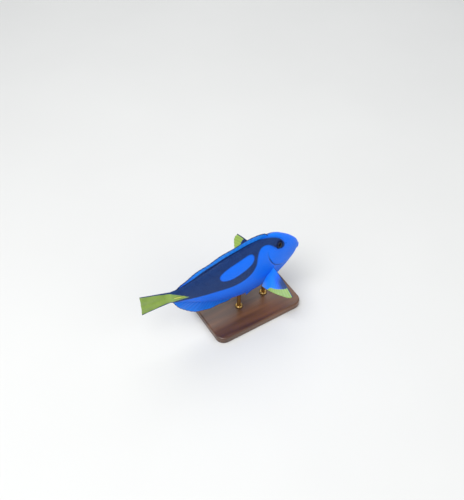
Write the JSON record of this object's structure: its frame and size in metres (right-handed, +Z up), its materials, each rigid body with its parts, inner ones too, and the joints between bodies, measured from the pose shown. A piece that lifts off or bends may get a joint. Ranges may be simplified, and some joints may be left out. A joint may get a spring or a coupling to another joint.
{
  "type": "regal blue tang display model",
  "caption": "Life-size still model of a regal blue tang swimming level, with spread breast fins and a half-closed tail, on a flat base with two short rods",
  "frame": {"origin": "middle of the underside of the stand's base", "axes": "+X is the way the head points, +Y is the fish's left, +Z is up"},
  "size_m": [0.2262, 0.1226, 0.1296],
  "materials": {
    "skin": "deep blue scaled skin with a dark palette-shaped marking and a yellow tail wedge, smooth and softly glossy",
    "fin": "blue rayed fin membrane with a dark margin, yellow tip on the breast fins",
    "tail_fin": "yellow rayed tail fin with dark upper and lower margins",
    "eye": "dark glossy eye",
    "stand_wood": "dark satin-varnished hardwood",
    "stand_rod": "satin brass rod"
  },
  "bodies": {
    "root": {"head": "skin", "trunk": "skin", "tail_stem": "skin", "dorsal_fin": "fin", "anal_fin": "fin", "tail_fin": "tail_fin", "eye_left": "eye", "eye_right": "eye", "breast_fin_left": "fin", "breast_fin_right": "fin", "belly_fin_left": "fin", "belly_fin_right": "fin", "stand_base": "stand_wood", "stand_rod_breast": "stand_rod", "stand_rod_belly": "stand_rod"}
  },
  "joints": []
}
